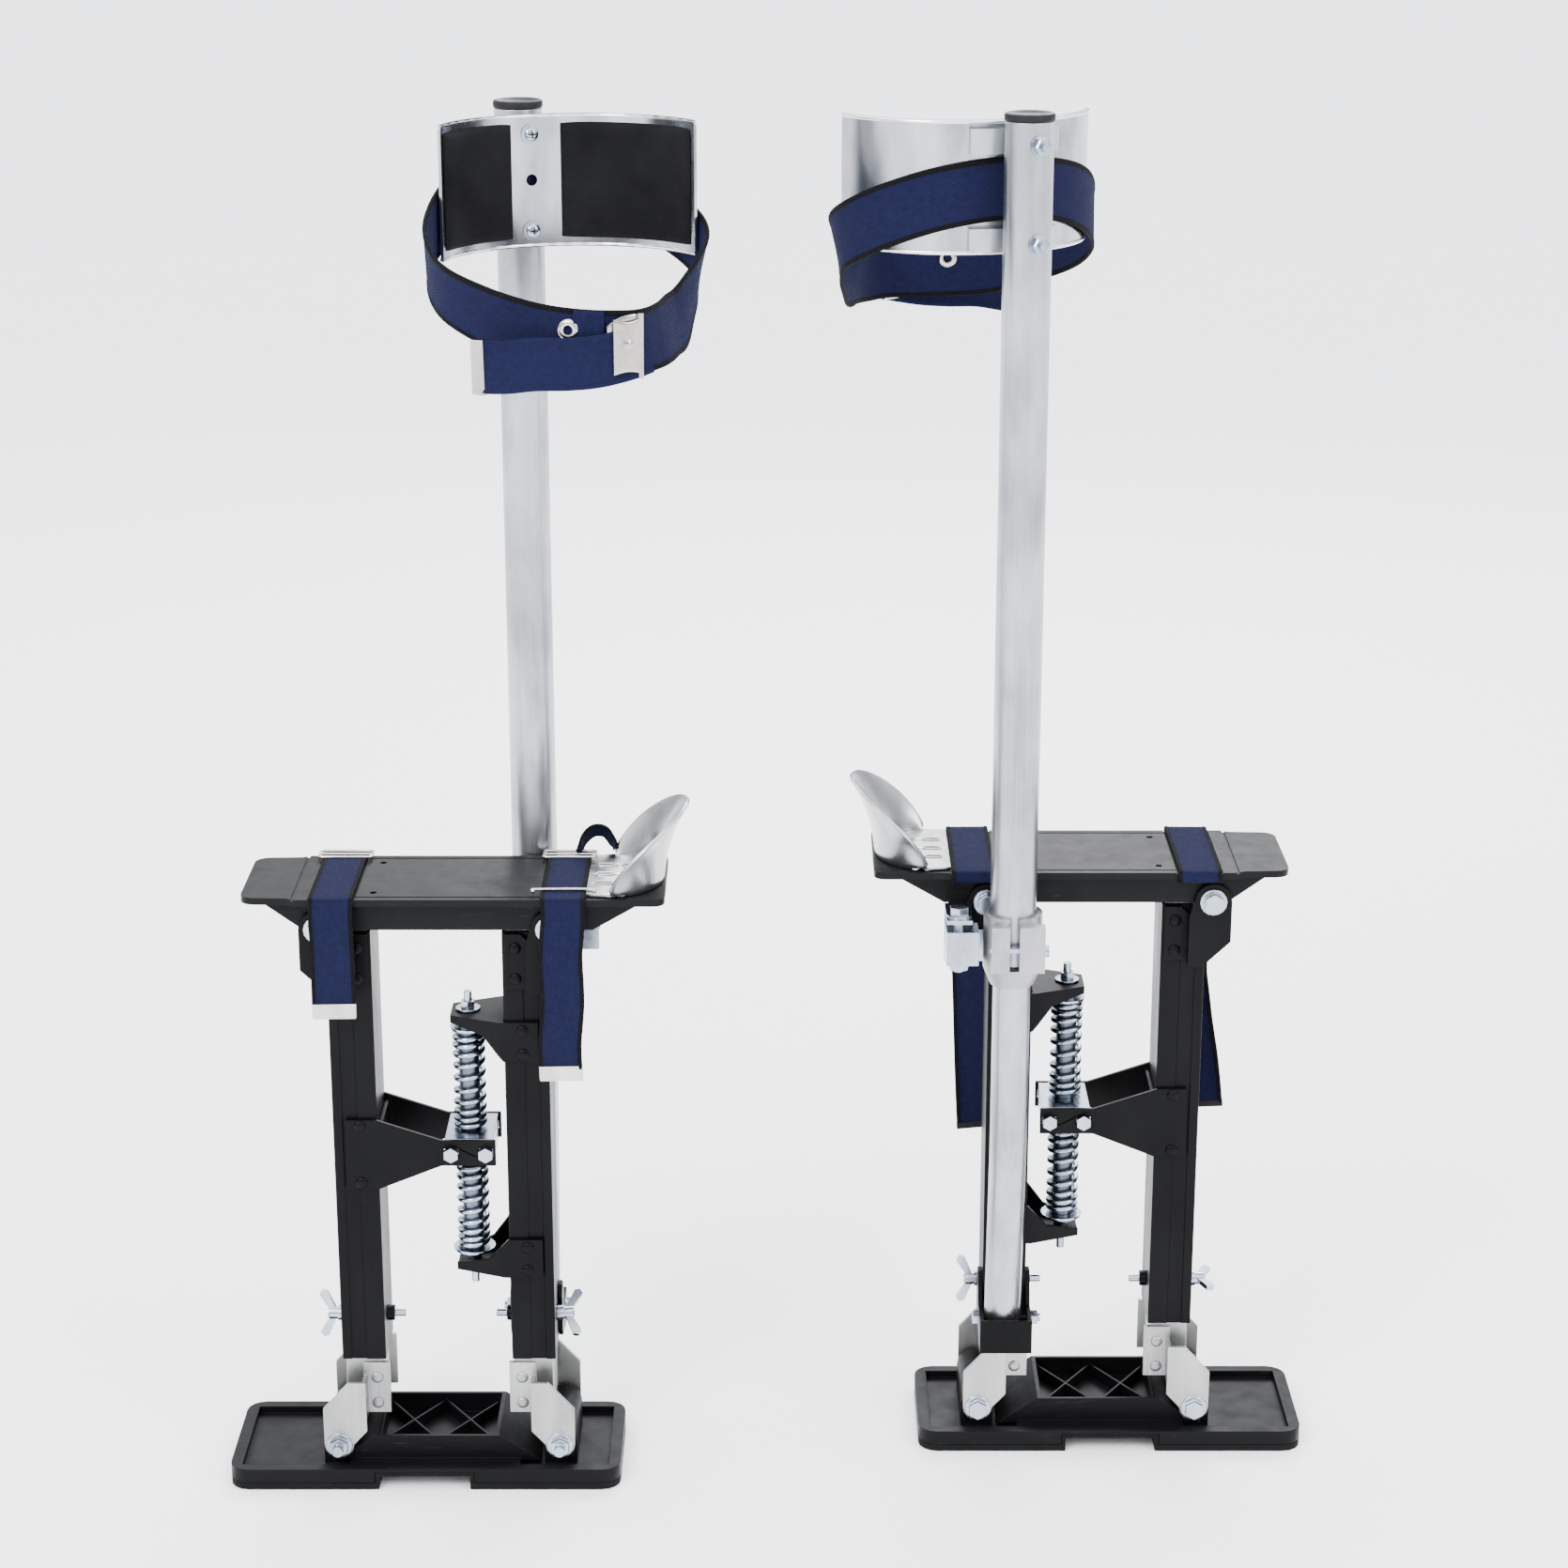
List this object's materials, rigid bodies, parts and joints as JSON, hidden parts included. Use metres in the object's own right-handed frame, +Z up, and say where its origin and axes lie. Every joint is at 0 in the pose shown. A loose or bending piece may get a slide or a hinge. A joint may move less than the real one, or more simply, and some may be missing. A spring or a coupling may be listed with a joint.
{
  "type": "drywall stilts",
  "caption": "Pair of height-adjustable work stilts: sprung parallelogram legs on rubber soles, foot plates with heel cups and straps, and calf bands on telescopic poles.",
  "frame": {"origin": "on the ground, midway between the two stilts", "axes": "+Z up, +X towards the right stilt, whose toe also points along +X; the left stilt is the same stilt turned half round Z, so its toe points along -X"},
  "size_m": [0.798, 0.3272, 0.989],
  "materials": {
    "black_plastic": "moulded, satin",
    "rubber": "matte",
    "black_paint": "satin powder coat",
    "aluminium": "satin anodised",
    "cast_aluminium": "cast, tumbled",
    "zinc": "bright zinc plate",
    "nickel": "nickel plate",
    "foam": "closed-cell foam with a fabric face",
    "webbing": "woven webbing, bound edges"
  },
  "bodies": {
    "right_sole": {"right_sole_frame": "black_plastic", "right_outsole": "rubber"},
    "right_front_lower": {"right_front_inner_leg": "aluminium"},
    "right_rear_lower": {"right_rear_inner_leg": "aluminium"},
    "right_front_upper": {"right_front_upright": "black_paint", "right_front_top_bracket": "black_paint", "right_centre_spring_bracket": "black_paint"},
    "right_rear_upper": {"right_rear_upright": "black_paint", "right_rear_top_bracket": "black_paint", "right_upper_spring_bracket": "black_paint", "right_lower_spring_bracket": "black_paint", "right_spring_rod": "zinc", "right_upper_spring": "zinc", "right_lower_spring": "zinc", "right_pole_lower_tube": "aluminium", "right_pole_collar": "cast_aluminium", "right_pole_foot_bracket": "black_paint", "right_swivel_bracket": "zinc"},
    "right_foot": {"right_foot_plate": "black_plastic", "right_toe_strap": "webbing", "right_ankle_strap": "webbing"},
    "right_heel": {"right_heel_cup": "aluminium"},
    "right_block": {"right_spring_block": "zinc"},
    "right_calf_pole": {"right_pole_upper_tube": "aluminium", "right_leg_band": "aluminium", "right_leg_pad": "foam", "right_leg_strap": "webbing"},
    "right_buckle": {"right_buckle_lever": "nickel"},
    "right_front_wing": {"right_front_wing_bolt": "zinc"},
    "right_rear_wing": {"right_rear_wing_bolt": "zinc"},
    "left_sole": {"left_sole_frame": "black_plastic", "left_outsole": "rubber"},
    "left_front_lower": {"left_front_inner_leg": "aluminium"},
    "left_rear_lower": {"left_rear_inner_leg": "aluminium"},
    "left_front_upper": {"left_front_upright": "black_paint", "left_front_top_bracket": "black_paint", "left_centre_spring_bracket": "black_paint"},
    "left_rear_upper": {"left_rear_upright": "black_paint", "left_rear_top_bracket": "black_paint", "left_upper_spring_bracket": "black_paint", "left_lower_spring_bracket": "black_paint", "left_spring_rod": "zinc", "left_upper_spring": "zinc", "left_lower_spring": "zinc", "left_pole_lower_tube": "aluminium", "left_pole_collar": "cast_aluminium", "left_pole_foot_bracket": "black_paint", "left_swivel_bracket": "zinc"},
    "left_foot": {"left_foot_plate": "black_plastic", "left_toe_strap": "webbing", "left_ankle_strap": "webbing"},
    "left_heel": {"left_heel_cup": "aluminium"},
    "left_block": {"left_spring_block": "zinc"},
    "left_calf_pole": {"left_pole_upper_tube": "aluminium", "left_leg_band": "aluminium", "left_leg_pad": "foam", "left_leg_strap": "webbing"},
    "left_buckle": {"left_buckle_lever": "nickel"},
    "left_front_wing": {"left_front_wing_bolt": "zinc"},
    "left_rear_wing": {"left_rear_wing_bolt": "zinc"}
  },
  "joints": [
    {"name": "right_front_lean", "type": "hinge", "parent": "right_sole", "child": "right_front_lower", "pos_m": [0.3185, 0.03, 0.029], "axis": [0, 1, 0], "range_deg": [-8, 8], "stiffness_Nm_per_rad": 600},
    {"name": "right_rear_lean", "type": "hinge", "parent": "right_sole", "child": "right_rear_lower", "pos_m": [0.1555, 0.03, 0.029], "axis": [0, 1, 0], "range_deg": [-8.2, 8.2]},
    {"name": "right_height", "type": "slide", "parent": "right_front_lower", "child": "right_front_upper", "axis": [0, 0, 1], "range_m": [0, 0.3048]},
    {"name": "right_rear_height", "type": "slide", "parent": "right_rear_lower", "child": "right_rear_upper", "axis": [0, 0, 1], "range_m": [0, 0.3048]},
    {"name": "right_foot_tilt", "type": "hinge", "parent": "right_front_upper", "child": "right_foot", "pos_m": [0.3185, 0.03, 0.432], "axis": [0, 1, 0], "range_deg": [-8.2, 8.2]},
    {"name": "right_heel_fit", "type": "slide", "parent": "right_foot", "child": "right_heel", "axis": [-1, 0, 0], "range_m": [0, 0.02]},
    {"name": "right_spring_travel", "type": "slide", "parent": "right_rear_upper", "child": "right_block", "axis": [0, 0, 1], "range_m": [-0.0235, 0.0235], "deforming": ["right_upper_spring", "right_lower_spring"]},
    {"name": "right_calf_height", "type": "slide", "parent": "right_rear_upper", "child": "right_calf_pole", "axis": [0, 0, 1], "range_m": [0, 0.025]},
    {"name": "right_front_wing_turn", "type": "hinge", "parent": "right_front_upper", "child": "right_front_wing", "pos_m": [0.2995, 0.03, 0.117], "axis": [1, 0, 0], "continuous": true},
    {"name": "right_rear_wing_turn", "type": "hinge", "parent": "right_rear_upper", "child": "right_rear_wing", "pos_m": [0.1745, 0.03, 0.117], "axis": [1, 0, 0], "continuous": true},
    {"name": "right_buckle_open", "type": "hinge", "parent": "right_calf_pole", "child": "right_buckle", "pos_m": [0.08243, 0.15556, 0.848], "axis": [0, 0, 1], "range_deg": [0, 70]},
    {"name": "left_front_lean", "type": "hinge", "parent": "left_sole", "child": "left_front_lower", "pos_m": [-0.3185, -0.03, 0.029], "axis": [0, 1, 0], "range_deg": [-8, 8], "stiffness_Nm_per_rad": 600},
    {"name": "left_rear_lean", "type": "hinge", "parent": "left_sole", "child": "left_rear_lower", "pos_m": [-0.1555, -0.03, 0.029], "axis": [0, 1, 0], "range_deg": [-8.2, 8.2]},
    {"name": "left_height", "type": "slide", "parent": "left_front_lower", "child": "left_front_upper", "axis": [0, 0, 1], "range_m": [0, 0.3048]},
    {"name": "left_rear_height", "type": "slide", "parent": "left_rear_lower", "child": "left_rear_upper", "axis": [0, 0, 1], "range_m": [0, 0.3048]},
    {"name": "left_foot_tilt", "type": "hinge", "parent": "left_front_upper", "child": "left_foot", "pos_m": [-0.3185, -0.03, 0.432], "axis": [0, 1, 0], "range_deg": [-8.2, 8.2]},
    {"name": "left_heel_fit", "type": "slide", "parent": "left_foot", "child": "left_heel", "axis": [1, 0, 0], "range_m": [0, 0.02]},
    {"name": "left_spring_travel", "type": "slide", "parent": "left_rear_upper", "child": "left_block", "axis": [0, 0, 1], "range_m": [-0.0235, 0.0235], "deforming": ["left_upper_spring", "left_lower_spring"]},
    {"name": "left_calf_height", "type": "slide", "parent": "left_rear_upper", "child": "left_calf_pole", "axis": [0, 0, 1], "range_m": [0, 0.025]},
    {"name": "left_front_wing_turn", "type": "hinge", "parent": "left_front_upper", "child": "left_front_wing", "pos_m": [-0.2995, -0.03, 0.117], "axis": [-1, 0, 0], "continuous": true},
    {"name": "left_rear_wing_turn", "type": "hinge", "parent": "left_rear_upper", "child": "left_rear_wing", "pos_m": [-0.1745, -0.03, 0.117], "axis": [-1, 0, 0], "continuous": true},
    {"name": "left_buckle_open", "type": "hinge", "parent": "left_calf_pole", "child": "left_buckle", "pos_m": [-0.08243, -0.15556, 0.848], "axis": [0, 0, 1], "range_deg": [0, 70]},
    {"name": "left_stilt_apart", "type": "slide", "parent": "right_sole", "child": "left_sole", "axis": [-1, 0, 0], "range_m": [0, 0.3]}
  ],
  "couplings": [
    {"joint": "right_rear_lean", "follows": "right_front_lean", "ratio": 1},
    {"joint": "right_rear_height", "follows": "right_height", "ratio": 1},
    {"joint": "right_foot_tilt", "follows": "right_front_lean", "ratio": -1},
    {"joint": "right_spring_travel", "follows": "right_front_lean", "m_per_rad": 0.163},
    {"joint": "left_rear_lean", "follows": "left_front_lean", "ratio": 1},
    {"joint": "left_rear_height", "follows": "left_height", "ratio": 1},
    {"joint": "left_foot_tilt", "follows": "left_front_lean", "ratio": -1},
    {"joint": "left_spring_travel", "follows": "left_front_lean", "m_per_rad": -0.163}
  ]
}
